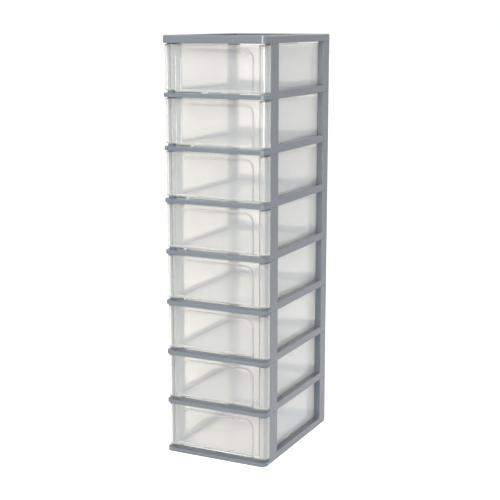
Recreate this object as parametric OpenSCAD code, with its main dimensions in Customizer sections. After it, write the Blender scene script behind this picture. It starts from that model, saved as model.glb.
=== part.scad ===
// Free-standing tower of stacked tier frames, each carrying one sliding drawer.
// Millimetres, +Z up, front towards -Y, origin on the floor at the middle of the footprint.

/* [Tower] */
// Number of tiers, each with one drawer
tiers = 8; // [1:1:10]
// Width over the frames
tower_w = 260; // [220:1:340]
// Depth over the frames
tower_d = 364; // [300:1:440]
// Height from one tier frame to the next
tier_pitch = 120; // [90:1:180]
// Plan radius of the two front corners
corner_front_r = 14; // [8:0.5:20]
// Plan radius of the two rear corners
corner_rear_r = 8; // [5:0.5:12]
// Wall thickness of the frame mouldings
frame_wall = 2.2; // [1.8:0.1:2.8]

/* [Ring of each tier frame] */
// Width of the side and rear beams
beam_w = 15; // [13:0.5:20]
// Height of the side and rear beams
beam_h = 17.5; // [15:0.5:24]
// Depth of the front sill, from its face to the front posts
sill_d = 26; // [20:0.5:34]
// Height of the front sill
sill_h = 9.5; // [7:0.5:12]
// How far the runners reach in from the side beams
runner_w = 12; // [8:0.5:18]
// Thickness of the runners
runner_t = 2.5; // [1.5:0.1:3.5]
// How far the runners stand above the sill
runner_rise = 0.5; // [0.2:0.1:1.5]
// Height of the rear web at its middle, above the ring's underside
web_mid_h = 21.8; // [18:0.1:30]
// How far the rear web's top curves up to the posts
web_sag = 7.3; // [2:0.1:12]

/* [Posts] */
// Depth of the front posts
front_post_d = 41; // [25:0.5:60]
// Depth of the rear posts
rear_post_d = 40; // [25:0.5:60]
// Height of the spigot that plugs each post into the ring above
spigot_h = 8; // [4:0.5:12]
// Clearance between a spigot and its socket
spigot_gap = 0.3; // [0.1:0.05:0.5]
// Height of the drawer stop on the inner face of each front post
stop_h = 13; // [6:0.5:20]
// Length of that stop along the post
stop_l = 3; // [2:0.5:6]

/* [Top cover] */
// Height of the top cover
cover_h = 17.5; // [14:0.5:24]
// Depth of the tray in the top cover
tray_depth = 9; // [4:0.5:11]

/* [Drawer front] */
// How far the drawer's face sits behind the sill's face
face_setback = 7.5; // [3:0.5:12]
// How far the drawer's face stays inside the frame's sides
face_side_gap = 0.5; // [0.3:0.1:2]
// Plan radius of the drawer face's two edges
face_r = 12; // [5:0.5:14]
// Gap between the sill and the drawer's face
face_bottom_gap = 5.8; // [2:0.1:8]
// Gap between the drawer's face and the ring above
face_top_gap = 2.9; // [2.8:0.1:8]
// Gap between the face's returns and the front posts
face_rear_gap = 0.3; // [0.3:0.1:2]
// Wall thickness of the drawer's face
face_wall = 2.2; // [1.6:0.1:3]
// Width of the finger recess at the face
recess_w = 194; // [120:1:200]
// Depth of the finger recess
recess_depth = 8.5; // [4:0.5:10]
// How far the recess's sloped edges run in towards its floor
recess_slope = 8.5; // [2:0.5:12]
// Height of the band left above the recess
recess_band = 7.6; // [4:0.1:12]
// Radius of the recess's upper corners at the face
recess_r = 24; // [16:0.5:40]

/* [Drawer box] */
// Wall thickness of the drawer's box
box_wall = 2; // [1.4:0.1:2.6]
// Gap between the drawer's floor and the runners
run_gap = 0.3; // [0.2:0.05:0.6]
// Gap between the drawer's rims and the posts
rim_gap = 0.3; // [0.3:0.05:0.6]
// How far the rims stand out from the box's sides
rim_w = 2.2; // [1.5:0.1:3]
// Height of the rims
rim_h = 7.3; // [3:0.1:9]
// Height that the front half of each rim rises further
rim_rise = 1.4; // [0.5:0.1:2.5]
// Length of that raised stretch, behind the front post
rim_rise_l = 140; // [60:1:180]
// How far the rear wall stays below the face's top edge
rear_drop = 12; // [2:0.5:40]
// Gap between the drawer and the frame's rear rail
rear_gap = 7; // [2:0.5:20]
// Plan radius of the box's two rear corners
box_r = 10; // [5:0.5:20]
// How far behind the face's returns the floor steps down to the runners
step_gap = 4.3; // [3:0.1:12]
// Length of the stop tab at the rear end of each rim
tab_l = 4; // [2:0.5:8]

/* [Hidden] */
half_w = tower_w / 2;
half_d = tower_d / 2;
inner_x = half_w - beam_w;
rail_y = half_d - beam_w;
post_y = sill_d - half_d;
post_back_y = post_y + front_post_d;
rear_post_y = half_d - rear_post_d;
runner_top = sill_h + runner_rise;

face_x = half_w - face_side_gap;
face_y = face_setback - half_d;
face_back_y = post_y - face_rear_gap;
face_z0 = sill_h + face_bottom_gap;
face_z1 = tier_pitch - face_top_gap;

box_x = inner_x - rim_gap - rim_w;
box_y = rail_y - rear_gap;
step_y = face_back_y + step_gap;
floor_z = runner_top + run_gap;
rim_z = face_z1 - rim_h;
rim_end_y = box_y - box_r;

stop_x = box_x + rim_gap;
stop_z1 = rim_z - rim_gap;
stop_z0 = stop_z1 - stop_h;

frame_root = frame_wall / 2;
box_root = box_wall / 2;

lead = 1;
tall = tier_pitch;
$fn = 64;

FRAMES = [for (i = [1:tiers]) str("tier_frame_", i)];
DRAWERS = [for (i = [1:tiers]) str("drawer_", i)];

// Rectangle with rounded corners, symmetric about the Y axis
module rounded_plan(half_x, y_front, y_rear, r_front, r_rear) {
    middle_y = (y_front + y_rear) / 2;
    translate([-half_x, y_front + r_front])
        square([2 * half_x, y_rear - r_rear - y_front - r_front]);
    translate([r_front - half_x, y_front])
        square([2 * (half_x - r_front), middle_y - y_front]);
    translate([r_rear - half_x, middle_y])
        square([2 * (half_x - r_rear), y_rear - middle_y]);
    for (side = [-1, 1]) {
        translate([side * (half_x - r_front), y_front + r_front])
            circle(r_front);
        translate([side * (half_x - r_rear), y_rear - r_rear])
            circle(r_rear);
    }
}

// Rectangle between two Y values, symmetric about the Y axis
module strip(half_x, y_front, y_rear) {
    translate([-half_x, y_front])
        square([2 * half_x, y_rear - y_front]);
}

// The same with its two front corners rounded
module front_plan(half_x, y_front, y_rear, r_front) {
    intersection() {
        strip(half_x, y_front, y_rear);
        union() {
            strip(half_x, y_front + r_front, y_rear);
            strip(half_x - r_front, y_front, y_rear);
            for (side = [-1, 1])
                translate([side * (half_x - r_front), y_front + r_front])
                    circle(r_front);
        }
    }
}

// The frame's outline, drawn in by inset
module tower_plan(inset = 0) {
    rounded_plan(half_w - inset, inset - half_d, half_d - inset, corner_front_r - inset, corner_rear_r - inset);
}

// Footprints of the four posts, drawn in by inset
module post_plan(inset = 0) {
    intersection() {
        tower_plan(inset);
        for (side = [-1, 1])
            translate([side * (inner_x + beam_w / 2), 0]) {
                strip(beam_w / 2 - inset, post_y + inset, post_back_y - inset);
                strip(beam_w / 2 - inset, rear_post_y + inset, half_d - inset);
            }
    }
}

// Hollow of a ring's beams, seen from below, without the posts' own hollows
module channel_plan(opening_y) {
    difference() {
        tower_plan(frame_wall);
        strip(inner_x + frame_wall, opening_y - frame_wall, rail_y + frame_wall);
        post_plan();
    }
}

// Four posts with the spigots on their tops
module posts() {
    linear_extrude(tier_pitch)
        post_plan();
    linear_extrude(tier_pitch + spigot_h)
        post_plan(frame_wall + spigot_gap);
}

// Hollows of the posts: open below as sockets, narrower inside the spigots
module post_hollows() {
    translate([0, 0, -lead])
        linear_extrude(tier_pitch - frame_wall + lead)
            post_plan(frame_wall);
    linear_extrude(tier_pitch + spigot_h - frame_wall)
        post_plan(2 * frame_wall + spigot_gap);
}

// Ring of side beams, rear beam and low front sill
module ring() {
    difference() {
        union() {
            linear_extrude(sill_h)
                tower_plan();
            linear_extrude(beam_h)
                intersection() {
                    tower_plan();
                    strip(half_w, post_y, half_d);
                }
        }
        translate([0, 0, -lead])
            linear_extrude(beam_h + 2 * lead)
                strip(inner_x, post_y, rail_y);
    }
}

// Hollows under the ring, kept below its top wall
module ring_hollows() {
    translate([0, 0, -lead]) {
        linear_extrude(sill_h - frame_wall + lead)
            intersection() {
                channel_plan(post_y);
                strip(half_w, -half_d, post_y);
            }
        linear_extrude(beam_h - frame_wall + lead)
            intersection() {
                channel_plan(post_y);
                strip(half_w, post_y, half_d);
            }
    }
}

// Two flanges inside the ring that carry the drawer, rooted in its side walls
module runners() {
    full_w = runner_w + frame_root;
    for (side = [-1, 1])
        translate([side * (inner_x - runner_w + full_w / 2), 0, runner_top - runner_t])
            linear_extrude(runner_t)
                strip(full_w / 2, post_y, rail_y);
}

// Upright web on the rear beam's inner edge, its top curving up to the posts
module rear_web() {
    web_r = (pow(inner_x, 2) + pow(web_sag, 2)) / (2 * web_sag);
    difference() {
        translate([0, 0, beam_h - frame_root])
            linear_extrude(web_mid_h + web_sag - beam_h + frame_root)
                strip(inner_x + frame_root, rail_y, rail_y + frame_wall);
        translate([0, rail_y - lead, web_mid_h + web_r])
            rotate([-90, 0, 0])
                cylinder(h = frame_wall + 2 * lead, r = web_r, $fn = 360);
    }
}

// Stops on the front posts that catch the drawer's rear tabs, rooted in the posts' walls
module stops() {
    full_w = inner_x - stop_x + frame_root;
    for (side = [-1, 1])
        translate([side * (stop_x + full_w / 2), 0, stop_z0])
            linear_extrude(stop_h)
                strip(full_w / 2, post_back_y - stop_l, post_back_y);
}

// One tier: ring, posts, runners, rear web and stops in one moulding
module tier_frame(tier) {
    color("lightslategray")
        translate([0, 0, (tier - 1) * tier_pitch]) {
            difference() {
                union() {
                    ring();
                    posts();
                }
                ring_hollows();
                post_hollows();
            }
            runners();
            rear_web();
            stops();
        }
}

// Cover with a shallow tray, socketed onto the top tier's spigots
module top_cover() {
    color("slategray")
        translate([0, 0, tiers * tier_pitch])
            difference() {
                linear_extrude(cover_h)
                    tower_plan();
                translate([0, 0, cover_h - tray_depth])
                    linear_extrude(tray_depth + lead)
                        strip(inner_x, -rail_y, rail_y);
                translate([0, 0, -lead]) {
                    linear_extrude(cover_h - tray_depth - frame_wall + lead)
                        strip(inner_x, -rail_y, rail_y);
                    linear_extrude(cover_h - frame_wall + lead) {
                        channel_plan(-rail_y);
                        post_plan(frame_wall);
                    }
                }
            }
}

// The finger recess as a solid, its walls thickened by wall and its bottom left open
module recess(wall) {
    run = recess_slope / recess_depth;
    spread = wall * sqrt(1 + pow(run, 2));
    y0 = face_y - lead;
    y1 = face_y + recess_depth + wall;
    half_0 = recess_w / 2 + spread + run * lead;
    top_0 = face_z1 - recess_band + spread + run * lead;
    r_0 = recess_r + spread + run * lead;
    taper = run * (y1 - y0);
    axis_x = half_0 - r_0;
    axis_z = top_0 - r_0;
    linear_extrude(axis_z)
        polygon([[-half_0, y0], [half_0, y0], [half_0 - taper, y1], [taper - half_0, y1]]);
    translate([-axis_x, 0, 0])
        rotate([90, 0, 90])
            linear_extrude(2 * axis_x)
                polygon([[y0, 0], [y1, 0], [y1, top_0 - taper], [y0, top_0]]);
    for (side = [-1, 1])
        translate([side * axis_x, y0, axis_z])
            rotate([-90, 0, 0])
                cylinder(h = y1 - y0, r1 = r_0, r2 = r_0 - taper);
}

// Outer block of the box: rear part down on the runners, front part stepped up over the sill
module box_block() {
    translate([0, 0, floor_z])
        linear_extrude(face_z1 - floor_z)
            mirror([0, 1])
                front_plan(box_x, -box_y, -step_y, box_r);
    translate([0, 0, face_z0])
        linear_extrude(face_z1 - face_z0)
            strip(box_x, face_y + face_wall / 2, step_y);
}

// Hollow of the box, open at the top, with its floor stepped like the block
module box_hollow() {
    translate([0, 0, floor_z + box_wall])
        linear_extrude(tall)
            mirror([0, 1])
                front_plan(box_x - box_wall, box_wall - box_y, -step_y - box_wall, box_r - box_wall);
    translate([0, 0, face_z0 + face_wall])
        linear_extrude(tall)
            strip(box_x - box_wall, face_y + face_wall, step_y + 2 * box_wall);
}

// Hollow behind the face, on both sides of the box
module face_hollow() {
    translate([0, 0, face_z0 + face_wall])
        linear_extrude(face_z1 - face_z0 - 2 * face_wall)
            difference() {
                front_plan(face_x - face_wall, face_y + face_wall, face_back_y + lead, face_r - face_wall);
                strip(box_x, face_y, face_back_y + 2 * lead);
            }
}

// Rims along the box's sides, rooted in its walls, with their raised stretch and their stop tabs
module rims() {
    full_w = rim_w + box_root;
    for (side = [-1, 1]) {
        translate([side * (box_x + rim_w - full_w / 2), 0, 0]) {
            translate([0, 0, rim_z])
                linear_extrude(rim_h)
                    strip(full_w / 2, face_back_y - face_wall, rim_end_y);
            translate([0, 0, stop_z0])
                linear_extrude(face_z1 - stop_z0)
                    strip(full_w / 2, rim_end_y - tab_l, rim_end_y);
        }
        translate([side * (box_x + rim_w / 2), 0, rim_z])
            linear_extrude(rim_h + rim_rise)
                strip(rim_w / 2, post_back_y, post_back_y + rim_rise_l);
    }
}

// One drawer: recessed face, stepped box, rims and stop tabs in one translucent moulding
module drawer(tier) {
    color("gainsboro", 0.6)
        translate([0, 0, (tier - 1) * tier_pitch]) {
            difference() {
                union() {
                    translate([0, 0, face_z0])
                        linear_extrude(face_z1 - face_z0)
                            front_plan(face_x, face_y, face_back_y, face_r);
                    box_block();
                }
                recess(0);
                difference() {
                    union() {
                        box_hollow();
                        face_hollow();
                    }
                    recess(face_wall);
                }
                translate([0, 0, face_z1 - rear_drop])
                    linear_extrude(rear_drop + lead)
                        strip(box_x - box_r, rim_end_y, box_y + lead);
            }
            rims();
        }
}

for (i = [1:tiers]) {
    tier_frame(i);
    drawer(i);
}
top_cover();
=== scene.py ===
import math

import bmesh
import bpy
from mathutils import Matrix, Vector


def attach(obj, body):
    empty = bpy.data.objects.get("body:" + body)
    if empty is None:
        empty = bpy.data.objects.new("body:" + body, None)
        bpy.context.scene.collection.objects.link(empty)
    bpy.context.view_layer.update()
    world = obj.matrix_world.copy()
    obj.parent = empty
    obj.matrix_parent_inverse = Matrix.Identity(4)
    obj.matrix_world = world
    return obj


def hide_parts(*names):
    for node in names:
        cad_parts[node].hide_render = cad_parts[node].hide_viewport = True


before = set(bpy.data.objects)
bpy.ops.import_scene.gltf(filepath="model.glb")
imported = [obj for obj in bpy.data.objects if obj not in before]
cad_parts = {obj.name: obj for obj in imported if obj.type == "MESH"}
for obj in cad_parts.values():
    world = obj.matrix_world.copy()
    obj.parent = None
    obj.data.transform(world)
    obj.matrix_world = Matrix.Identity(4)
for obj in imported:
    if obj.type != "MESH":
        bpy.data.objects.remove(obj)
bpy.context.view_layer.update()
scene = bpy.context.scene

# ---------------------------------------------------------------- tier frames
# Eight identical mouldings in blue-grey polypropylene, plugged onto each other. Each is a ring with
# a low front sill and four hollow posts, with two runners and a curved web at the rear inside it.
# The mould rounds every edge a little and leaves a fine, satin spark-eroded texture on the skin.
TIERS = 8
PITCH = 0.120
HALF_W, HALF_D = 0.130, 0.182
FRONT_R, REAR_R = 0.014, 0.008
INNER_X, RAIL_Y = 0.115, 0.167
POST_Y, POST_BACK_Y, REAR_POST_Y = -0.156, -0.115, 0.142
SILL_H, BEAM_H = 0.0095, 0.0175
WALL = 0.0022
EDGE_R = 0.0009
WEB_MID, WEB_SAG = 0.0218, 0.0073
SPIGOT_H, SPIGOT_IN = 0.008, 0.0025
RUNNER_X, RUNNER_TOP, RUNNER_T = 0.103, 0.010, 0.0025
RUNNER_GAP = 0.0003
STOP_X, STOP_Z0, STOP_Z1, STOP_L = 0.1128, 0.0965, 0.1095, 0.003
SPIGOT_R, FINE_R = 0.0005, 0.0004
WEB_STEPS = 24
NEAR = 1e-5  # two places closer than this are the same place
SQUARE_ON = 0.9  # a face whose normal points this far along an axis faces that way


class Wire:
    """A node's output, on which sums can be written."""

    def __init__(self, finish, socket):
        self.finish, self.socket = finish, socket

    def at(self, name):
        return Wire(self.finish, self.socket.node.outputs[name])

    def sum(self, operation, a, b):
        return self.finish.node("Math", {"operation": operation}, {0: a, 1: b})

    def __add__(self, other):
        return self.sum("ADD", self, other)

    def __mul__(self, other):
        return self.sum("MULTIPLY", self, other)

    __radd__ = __add__
    __rmul__ = __mul__


class Finish:
    """A material or world made of nodes."""

    def __init__(self, block):
        self.block = block
        block.use_nodes = True
        self.tree = block.node_tree
        self.tree.nodes.clear()

    def node(self, kind, settings={}, sockets={}):
        """Adds a node: its settings first, then values or links for its sockets. Gives its first output."""
        new = self.tree.nodes.new("ShaderNode" + kind)
        for name, value in settings.items():
            if name == "stops":
                for stop, (place, colour) in zip(new.color_ramp.elements, value):
                    stop.position, stop.color = place, (*colour, 1)
            else:
                setattr(new, name, value)
        for name, value in sockets.items():
            if isinstance(name, int):
                socket = new.inputs[name]
            else:
                socket = next(s for s in new.inputs if s.enabled and s.name == name)
            if isinstance(value, Wire):
                self.tree.links.new(value.socket, socket)
            else:
                socket.default_value = value
        out = [s for s in new.outputs if s.enabled]
        return Wire(self, out[0]) if out else None


def middle(face):
    return face.calc_center_median()


def cut(bm, axis, places, only=None):
    """Cuts the mesh, or some of its faces, along planes square to an axis."""
    normal = Vector([axis == "x", axis == "y", axis == "z"])
    for place in places:
        near = bm.faces[:] if only is None else [f for f in bm.faces if only(f)]
        edges = {e for f in near for e in f.edges}
        verts = {v for f in near for v in f.verts}
        bmesh.ops.bisect_plane(bm, geom=near + list(edges) + list(verts), dist=NEAR / 2,
                               plane_co=normal * place, plane_no=normal)
    bm.normal_update()


def facing(bm, way, test):
    """The faces that point one way and whose middle passes a test."""
    bm.normal_update()
    return [f for f in bm.faces if f.normal.dot(Vector(way)) > SQUARE_ON and test(middle(f))]


def pull(bm, faces, by):
    """Extrudes faces by a vector, and gives the moved faces."""
    out = bmesh.ops.extrude_face_region(bm, geom=faces)["geom"]
    bmesh.ops.delete(bm, geom=faces, context="FACES")
    bmesh.ops.translate(bm, vec=by, verts=[g for g in out if isinstance(g, bmesh.types.BMVert)])
    bm.normal_update()
    return [g for g in out if isinstance(g, bmesh.types.BMFace)]


def block(bm, low, high):
    """A rectangular block between two corners, and its faces."""
    made = bmesh.ops.create_cube(bm, size=1)["verts"]
    low, high = Vector(low), Vector(high)
    bmesh.ops.scale(bm, vec=high - low, verts=made)
    bmesh.ops.translate(bm, vec=(low + high) / 2, verts=made)
    return list({f for v in made for f in v.link_faces})


def upright(bm, x, y):
    """The vertical edges at a place on both sides of the tower."""
    return [e for e in bm.edges if abs(e.verts[0].co.x - e.verts[1].co.x) < NEAR
            and all(abs(abs(v.co.x) - x) < NEAR and abs(v.co.y - y) < NEAR for v in e.verts)]


def soften(bm, edges, radius, segments):
    """Rounds edges to a radius."""
    bmesh.ops.bevel(bm, geom=list(edges), offset=radius, offset_type="OFFSET", affect="EDGES",
                    segments=segments, profile=0.5, clamp_overlap=True, material=-1)
    bm.normal_update()


def sharp(bm, angle=35, test=lambda e: True):
    """The edges whose faces meet at more than an angle."""
    bm.normal_update()
    return [e for e in bm.edges
            if e.is_manifold and e.calc_face_angle() > math.radians(angle) and test(e)]


def tower_block(bm, height):
    """The tower's plan as a block, with its corners rounded."""
    block(bm, (-HALF_W, -HALF_D, 0), (HALF_W, HALF_D, height))
    soften(bm, upright(bm, HALF_W, -HALF_D), FRONT_R, 10)
    soften(bm, upright(bm, HALF_W, HALF_D), REAR_R, 8)


def is_post(p):
    return abs(p.x) > INNER_X and (POST_Y < p.y < POST_BACK_Y or p.y > REAR_POST_Y)


def hollow(bm, test, depth, wall=WALL - EDGE_R):
    """Hollows part of the underside, leaving walls around it."""
    under = facing(bm, (0, 0, -1), lambda p: p.z < NEAR and test(p))
    bmesh.ops.inset_region(bm, faces=under, thickness=wall, use_even_offset=True, use_boundary=True)
    pull(bm, under, (0, 0, depth))


def piece(bm, name, z):
    """Makes the mesh an object at its height in the tower, its big faces shaded flat and its edges round."""
    bmesh.ops.translate(bm, vec=(0, 0, z), verts=bm.verts)
    mesh = bpy.data.meshes.new(name)
    bm.to_mesh(mesh)
    mesh.shade_smooth()
    made = bpy.data.objects.new(name, mesh)
    scene.collection.objects.link(made)
    normals = made.modifiers.new("even_shading", "WEIGHTED_NORMAL")
    normals.weight = 100
    normals.keep_sharp = True
    bmesh.ops.translate(bm, vec=(0, 0, -z), verts=bm.verts)
    return made


tier = bmesh.new()
tower_block(tier, SILL_H)
cut(tier, "x", (-INNER_X, INNER_X))
cut(tier, "y", (POST_Y, POST_BACK_Y, REAR_POST_Y, RAIL_Y, RAIL_Y + WALL))

# The ring's opening goes right through.
inside = [f for f in tier.faces if abs(f.normal.z) > SQUARE_ON
          and abs(middle(f).x) < INNER_X and POST_Y < middle(f).y < RAIL_Y]
bmesh.ops.delete(tier, geom=inside, context="FACES")
bmesh.ops.bridge_loops(tier, edges=[e for e in tier.edges if e.is_boundary])

# The beams behind the sill stand higher, and the posts higher still.
pull(tier, facing(tier, (0, 0, 1), lambda p: p.y > POST_Y), (0, 0, BEAM_H - SILL_H))
pull(tier, facing(tier, (0, 0, 1), is_post), (0, 0, PITCH - BEAM_H))

# The rear web is a thin upright strip, cut into steps that bend its top edge.
on_web = lambda p: abs(p.x) < INNER_X and RAIL_Y < p.y < RAIL_Y + WALL
steps = [INNER_X * (2 * i / WEB_STEPS - 1) for i in range(1, WEB_STEPS)]
cut(tier, "x", steps, lambda f: f.normal.z > SQUARE_ON and on_web(middle(f)))
for face in pull(tier, facing(tier, (0, 0, 1), on_web), (0, 0, WEB_MID - BEAM_H)):
    for vert in face.verts:
        vert.co.z = WEB_MID + WEB_SAG * (vert.co.x / INNER_X) ** 2

soften(tier, sharp(tier), EDGE_R, 3)

# Underneath, the beams are channels and the posts sockets; on top each post has a spigot.
hollow(tier, lambda p: p.y < POST_Y, SILL_H - WALL)
hollow(tier, lambda p: p.y > POST_Y and not is_post(p), BEAM_H - WALL)
hollow(tier, is_post, PITCH - WALL)
tops = facing(tier, (0, 0, 1), lambda p: p.z > PITCH - NEAR)
bmesh.ops.inset_region(tier, faces=tops, thickness=SPIGOT_IN - EDGE_R, use_even_offset=True)
soften(tier, {e for f in pull(tier, tops, (0, 0, SPIGOT_H)) for e in f.edges}, SPIGOT_R, 2)



def rooted(bm, side, x, low, high):
    """A block that grows from inside a beam or post to a distance from the tower's middle."""
    left, right = sorted((side * x, side * (INNER_X + WALL / 2)))
    return block(bm, (left, *low), (right, *high))


# Two runners and two drawer stops grow out of the side beams and the front posts.
for side in (-1, 1):
    runner = rooted(tier, side, RUNNER_X, (POST_Y + RUNNER_GAP, RUNNER_TOP - RUNNER_T),
                    (RAIL_Y + WALL / 2, RUNNER_TOP))
    stop = rooted(tier, side, STOP_X, (POST_BACK_Y - STOP_L, STOP_Z0), (POST_BACK_Y, STOP_Z1))
    soften(tier, {e for f in runner + stop for e in f.edges}, FINE_R, 2)

# Satin plastic: an even blue-grey with faint clouding, a fine texture and an even sheen.
plastic = Finish(bpy.data.materials.new("frame_plastic"))
place = plastic.node("TexCoord").at("Object")
cloud = plastic.node("TexNoise", {}, {"Vector": place, "Scale": 14, "Detail": 3, "Roughness": 0.6})
grain = plastic.node("TexNoise", {}, {"Vector": place, "Scale": 1400, "Detail": 2, "Roughness": 0.55})
blue_grey = [(0.3, (0.126, 0.143, 0.166)), (0.7, (0.136, 0.153, 0.176))]
colour = plastic.node("ValToRGB", {"stops": blue_grey}, {"Fac": cloud})
skin = plastic.node("Bump", {}, {"Height": grain, "Strength": 0.2, "Distance": 0.00008})
shader = plastic.node("BsdfPrincipled", {}, {
    "Base Color": colour, "Roughness": 0.17 + 0.02 * grain, "IOR": 1.49, "Normal": skin})
plastic.node("OutputMaterial", {}, {"Surface": shader})

for i in range(TIERS):
    node = f"tier_frame_{i + 1}"
    made = piece(tier, node + "_shell", i * PITCH)
    made.data.materials.append(plastic.block)
    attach(made, "tower")
    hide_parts(node)
tier.free()

# ---------------------------------------------------------------- top cover
# A shallow tray in the same blue-grey plastic, pressed onto the spigots of the top tier. Its rim is
# as wide as the beams and has a broad round along its outer top edge.
COVER_H, TRAY_D = 0.0175, 0.009
RIM_R = 0.0032
MID_RIM = 0.008  # from the tray's side to about the middle of the rim

cover = bmesh.new()
tower_block(cover, COVER_H)
cut(cover, "x", (-INNER_X, INNER_X))
cut(cover, "y", (-RAIL_Y, POST_Y, POST_BACK_Y, REAR_POST_Y, RAIL_Y))
is_tray = lambda p: abs(p.x) < INNER_X and abs(p.y) < RAIL_Y
pull(cover, facing(cover, (0, 0, 1), is_tray), (0, 0, -TRAY_D))

outer = lambda v: abs(v.co.x) > INNER_X + MID_RIM or abs(v.co.y) > RAIL_Y + MID_RIM
top_edge = lambda e: all(v.co.z > COVER_H - NEAR and outer(v) for v in e.verts)
soften(cover, sharp(cover, test=top_edge), RIM_R, 5)
soften(cover, sharp(cover, angle=60), EDGE_R, 3)

pull(cover, facing(cover, (0, 0, -1), is_tray), (0, 0, COVER_H - TRAY_D - WALL))
hollow(cover, lambda p: not is_post(p) and not is_tray(p), COVER_H - WALL)
hollow(cover, is_post, COVER_H - WALL)

made = piece(cover, "top_cover_shell", TIERS * PITCH)
made.data.materials.append(plastic.block)
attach(made, "tower")
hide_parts("top_cover")
cover.free()

# ---------------------------------------------------------------- drawers
# Eight identical drawers in milky translucent polypropylene, each one moulding about 2 mm thick: a
# box with side rims that run on the frame, behind a face that wraps round the tower's front corners
# and has a wide finger recess with an open foot. The mould leaves a smooth satin skin.
FACE_X, FACE_Y, FACE_BACK = 0.1295, -0.1745, -0.1563
FACE_Z0, FACE_Z1 = 0.0153, 0.1171
FACE_R, FACE_T = 0.012, 0.0022
RECESS_X, RECESS_TOP, RECESS_R = 0.097, 0.1095, 0.024
RECESS_D, RECESS_OUT = 0.0085, 0.0009
BRINK_R, DISH_R = 0.0010, 0.0018
BELOW, INSET = 0.020, 0.002  # how far a block starts below its foot, and its first outline inside it
ARC_STEP = 0.0012  # length of a flat along a round corner
BEHIND_FRONT = 0.003  # what lies further back than this isn't the front of the face
BOX_X, BOX_Y, BOX_T, BOX_R = 0.1125, 0.160, 0.002, 0.010
LINING_R = 0.001
STEP_Y, FLOOR_Z = -0.152, 0.0103
RIM_Z, RIM_W, RIM_END = 0.1098, 0.0022, 0.150
RISE_H, RISE_END = 0.0014, 0.025
TAB_Z, TAB_L = 0.0965, 0.004
REAR_Z, REAR_X = 0.1051, 0.1025


def recessed_block(bm, half_x, front, back, corner, more, foot):
    """A block with round front corners and the finger recess in its front, cut off level at its foot."""
    low = foot - BELOW
    block(bm, (-half_x, front, low), (half_x, back, FACE_Z1))
    soften(bm, upright(bm, half_x, front), corner, max(3, round(corner / ARC_STEP)))
    panel = min(bm.faces, key=lambda f: middle(f).y)
    bmesh.ops.inset_region(bm, faces=[panel], thickness=INSET)
    spokes = []
    for vert in panel.verts:
        upper = vert.co.z > foot
        if upper:
            spokes += [e for e in vert.link_edges if e not in panel.edges]
        vert.co.x = math.copysign(RECESS_X + more, vert.co.x)
        vert.co.z = RECESS_TOP + more if upper else low + INSET
    bmesh.ops.dissolve_edges(bm, edges=spokes)
    bmesh.ops.bevel(bm, geom=[v for v in panel.verts if v.co.z > foot], offset=RECESS_R + more,
                    offset_type="OFFSET", affect="VERTICES", segments=12, profile=0.5, material=-1)
    flat = facing(bm, (0, -1, 0), lambda p: abs(p.y - front) < NEAR)
    dome = min(flat, key=lambda f: max(v.co.x for v in f.verts))
    brink = set(dome.edges)
    bmesh.ops.inset_region(bm, faces=[dome], thickness=RECESS_D, depth=-RECESS_D, use_even_offset=True)
    soften(bm, brink, BRINK_R, 3)
    dome = max(facing(bm, (0, -1, 0), lambda p: p.z > 0), key=lambda f: middle(f).y)
    soften(bm, dome.edges, DISH_R, 4)
    bmesh.ops.bisect_plane(bm, geom=bm.verts[:] + bm.edges[:] + bm.faces[:], dist=NEAR / 10,
                           plane_co=(0, 0, foot), plane_no=(0, 0, 1), clear_inner=True)
    bmesh.ops.holes_fill(bm, edges=[e for e in bm.edges if e.is_boundary])
    bm.normal_update()


# The outside: the face, the box behind it, stepped down onto the runners, and the two pockets
# behind the face's ends.
drawer = bmesh.new()
recessed_block(drawer, FACE_X, FACE_Y, FACE_BACK, FACE_R, 0, FACE_Z0)
cut(drawer, "x", (-BOX_X, BOX_X), lambda f: middle(f).y > FACE_Y + BEHIND_FRONT)
on_back = lambda p: abs(p.x) < BOX_X and p.y > FACE_BACK - NEAR
back = pull(drawer, facing(drawer, (0, 1, 0), on_back), (0, STEP_Y - FACE_BACK, 0))
pull(drawer, back, (0, BOX_Y - STEP_Y, 0))
pull(drawer, facing(drawer, (0, 0, -1), lambda p: p.y > STEP_Y), (0, 0, FLOOR_Z - FACE_Z0))
soften(drawer, upright(drawer, BOX_X, BOX_Y), BOX_R, 8)

behind = lambda f: f.normal.y > SQUARE_ON and abs(middle(f).x) > BOX_X and middle(f).y < STEP_Y
cut(drawer, "x", (FACE_T - FACE_X, FACE_X - FACE_T), behind)
cut(drawer, "z", (FACE_Z0 + FACE_T, FACE_Z1 - FACE_T), behind)
in_pocket = lambda p: (BOX_X < abs(p.x) < FACE_X - FACE_T and p.y < STEP_Y
                       and FACE_Z0 + FACE_T < p.z < FACE_Z1 - FACE_T)
pull(drawer, facing(drawer, (0, 1, 0), in_pocket), (0, FACE_Y + FACE_T - FACE_BACK, 0))
soften(drawer, upright(drawer, FACE_X - FACE_T, FACE_Y + FACE_T), FACE_R - FACE_T, 8)

# The rims along both sides, each with a raised stretch and a stop tab at its rear end.
for side in (-1, 1):
    flank = lambda f: f.normal.x * side > SQUARE_ON and abs(middle(f).x - side * BOX_X) < NEAR
    cut(drawer, "y", (POST_BACK_Y, RISE_END, RIM_END - TAB_L, RIM_END), flank)
    cut(drawer, "z", (TAB_Z, RIM_Z), flank)
    rim_foot = lambda y: RIM_Z if y < RIM_END - TAB_L else TAB_Z
    rim = [f for f in drawer.faces
           if flank(f) and FACE_BACK < middle(f).y < RIM_END and middle(f).z > rim_foot(middle(f).y)]
    pull(drawer, rim, (side * RIM_W, 0, 0))
on_rise = lambda p: abs(p.x) > BOX_X and POST_BACK_Y < p.y < RISE_END
pull(drawer, facing(drawer, (0, 0, 1), on_rise), (0, 0, RISE_H))

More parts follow.
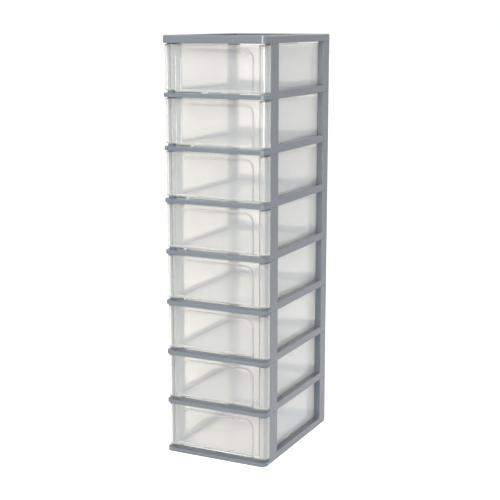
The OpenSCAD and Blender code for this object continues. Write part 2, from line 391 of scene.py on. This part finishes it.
# The inside is a second block of the same form, turned inside out and joined to the first at the
# brim.
inside = bmesh.new()
recessed_block(inside, BOX_X - BOX_T, FACE_Y + FACE_T, BOX_Y - BOX_T, LINING_R, RECESS_OUT, FACE_Z0 + FACE_T)
cut(inside, "y", (STEP_Y + BOX_T,), lambda f: f.normal.z < -SQUARE_ON)
pull(inside, facing(inside, (0, 0, -1), lambda p: p.y > STEP_Y), (0, 0, FLOOR_Z + BOX_T - FACE_Z0 - FACE_T))
soften(inside, upright(inside, BOX_X - BOX_T, BOX_Y - BOX_T), BOX_R - BOX_T, 8)
bmesh.ops.delete(inside, geom=facing(inside, (0, 0, 1), lambda p: p.z > FACE_Z1 - NEAR), context="FACES")
bmesh.ops.reverse_faces(inside, faces=inside.faces[:])
lining = bpy.data.meshes.new("lining")
inside.to_mesh(lining)
inside.free()
on_top = lambda p: abs(p.x) < BOX_X and abs(p.z - FACE_Z1) < NEAR
bmesh.ops.delete(drawer, geom=facing(drawer, (0, 0, 1), on_top), context="FACES")
drawer.from_mesh(lining)
bpy.data.meshes.remove(lining)
bmesh.ops.triangle_fill(drawer, use_beauty=True, normal=(0, 0, 1),
                        edges=[e for e in drawer.edges if e.is_boundary])
bmesh.ops.dissolve_degenerate(drawer, dist=2 * NEAR, edges=drawer.edges)
bmesh.ops.recalc_face_normals(drawer, faces=drawer.faces)

# The rear wall stands lower between its rounded corners.
WALL_NEAR, ABOVE_FLOOR = 0.0005, 0.01  # what counts as the rear wall, clear of the floor's edge
rear = lambda f: (any(v.co.y > BOX_Y - BOX_T - WALL_NEAR for v in f.verts)
                  and middle(f).z > FLOOR_Z + ABOVE_FLOOR)
cut(drawer, "x", (-REAR_X, REAR_X), rear)
cut(drawer, "z", (REAR_Z,), rear)
in_notch = lambda v: (abs(v.co.x) < REAR_X + NEAR and v.co.y > BOX_Y - BOX_T - NEAR
                      and v.co.z > REAR_Z - NEAR)
notch = [f for f in drawer.faces if all(in_notch(v) for v in f.verts)]
bmesh.ops.delete(drawer, geom=notch, context="FACES")
brink = [e for e in drawer.edges if e.is_boundary and abs(e.verts[0].co.y - e.verts[1].co.y) < NEAR]
bmesh.ops.bridge_loops(drawer, edges=brink)
bmesh.ops.recalc_face_normals(drawer, faces=drawer.faces)

# Finish with a small round on every edge that is still sharp, but for the short upright ones where
# the rims run into the back of the face.
FLAT = 0.01  # radians between faces that count as one
bmesh.ops.dissolve_limit(drawer, angle_limit=FLAT, verts=drawer.verts, edges=drawer.edges)
at_rim = lambda v: abs(abs(v.co.x) - BOX_X) < NEAR and abs(v.co.y - FACE_BACK) < NEAR
soften(drawer, sharp(drawer, 50, lambda e: not all(at_rim(v) for v in e.verts)), FINE_R, 2)
bmesh.ops.dissolve_degenerate(drawer, dist=NEAR, edges=drawer.edges)

# Milky plastic: most light goes through, a little dimmed and blurred, and the rest is scattered by a
# bluish veil, which is thinner in the face than in the box. Lamps shine softly through every wall.
milky = Finish(bpy.data.materials.new("drawer_plastic"))
place = milky.node("TexCoord").at("Object")
haze = milky.node("TexNoise", {}, {"Vector": place, "Scale": 9, "Detail": 2})
cream = [(0.3, (0.91, 0.868, 0.80)), (0.7, (0.93, 0.888, 0.82))]
colour = milky.node("ValToRGB", {"stops": cream}, {"Fac": haze})
clear = milky.node("BsdfPrincipled", {}, {
    "Base Color": colour, "Roughness": 0.07 + 0.03 * haze, "IOR": 1.45, "Transmission Weight": 1.0})
veil = milky.node("BsdfDiffuse", {}, {"Color": (0.84, 0.893, 0.958, 1)})
share = milky.node("MapRange", {}, {"Value": milky.node("SeparateXYZ", {}, {"Vector": place}).at("Y"),
                                    "From Min": -0.160, "From Max": -0.150, "To Min": 0.13, "To Max": 0.32})
cloudy = milky.node("MixShader", {}, {0: share, 1: clear, 2: veil})
glow = milky.node("BsdfTransparent", {}, {"Color": (0.88, 0.88, 0.86, 1)})
shader = milky.node("MixShader", {}, {0: milky.node("LightPath").at("Is Shadow Ray"), 1: cloudy, 2: glow})
dim = milky.node("VolumeAbsorption", {}, {"Color": (0.3, 0.25, 0.18, 1), "Density": 20})
milky.node("OutputMaterial", {}, {"Surface": shader, "Volume": dim})

for i in range(TIERS):
    node = f"drawer_{i + 1}"
    made = piece(drawer, node + "_shell", i * PITCH)
    made.data.materials.append(milky.block)
    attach(made, node)
    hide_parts(node)
drawer.free()

# ---------------------------------------------------------------- floor, light and camera
# A wide pale floor that runs out into white, one large soft lamp in front of the tower's right half,
# a smaller one high above its front, and the camera at eye height in front of its right corner.
FLOOR_HALF = 30
FLOOR_GLOW, FILL, BACKDROP = 0.62, 0.60, 1.0
TOWER_MIDDLE = (0, 0, 0.5)
EYE, EYE_DOWN, EYE_TURN = (1.198, -2.446, 1.0121), 11.311, 26.037
LENS, SENSOR = 83.12, 36

bm = bmesh.new()
bmesh.ops.create_grid(bm, x_segments=1, y_segments=1, size=FLOOR_HALF)
mesh = bpy.data.meshes.new("floor")
bm.to_mesh(mesh)
bm.free()
floor = bpy.data.objects.new("floor", mesh)
scene.collection.objects.link(floor)


def in_sight(finish):
    """1 where the eye looks, straight, by a reflection or through the drawers, and else 0."""
    path = finish.node("LightPath")
    seen = finish.node("Math", {"operation": "MAXIMUM"},
                       {0: path.at("Is Camera Ray"), 1: path.at("Is Glossy Ray")})
    return finish.node("Math", {"operation": "MAXIMUM"}, {0: seen, 1: path.at("Is Transmission Ray")})


paper = Finish(bpy.data.materials.new("floor"))
matt = paper.node("BsdfDiffuse", {}, {"Color": (0.88, 0.88, 0.88, 1)})
glow = paper.node("Emission", {}, {"Color": (1, 1, 1, 1), "Strength": in_sight(paper) * FLOOR_GLOW})
both = paper.node("AddShader", {}, {0: matt, 1: glow})
paper.node("OutputMaterial", {}, {"Surface": both})
mesh.materials.append(paper.block)

scene.world = bpy.data.worlds.new("studio")
studio = Finish(scene.world)
fill = studio.node("Background", {}, {"Color": (1, 1, 1, 1), "Strength": FILL})
white = studio.node("Background", {}, {"Color": (1, 1, 1, 1), "Strength": BACKDROP})
backdrop = studio.node("MixShader", {}, {0: in_sight(studio), 1: fill, 2: white})
studio.node("OutputWorld", {}, {"Surface": backdrop})


def lamp(name, at, size, power):
    """A soft square lamp that points at the middle of the tower."""
    light = bpy.data.lights.new(name, "AREA")
    light.shape, light.size, light.energy = "SQUARE", size, power
    made = bpy.data.objects.new(name, light)
    made.location = at
    made.rotation_euler = (Vector(TOWER_MIDDLE) - Vector(at)).to_track_quat("-Z", "Y").to_euler()
    scene.collection.objects.link(made)


lamp("key", at=(1.25, -4.2, 1.1), size=1.8, power=112)
lamp("overhead", at=(0.3, -1.1, 2.75), size=0.8, power=50)

view = bpy.data.cameras.new("camera")
view.lens, view.sensor_width = LENS, SENSOR
eye = bpy.data.objects.new("camera", view)
eye.location = EYE
eye.rotation_euler = (math.radians(90 - EYE_DOWN), 0, math.radians(EYE_TURN))
scene.collection.objects.link(eye)
scene.camera = eye
scene.view_settings.view_transform = "Standard"
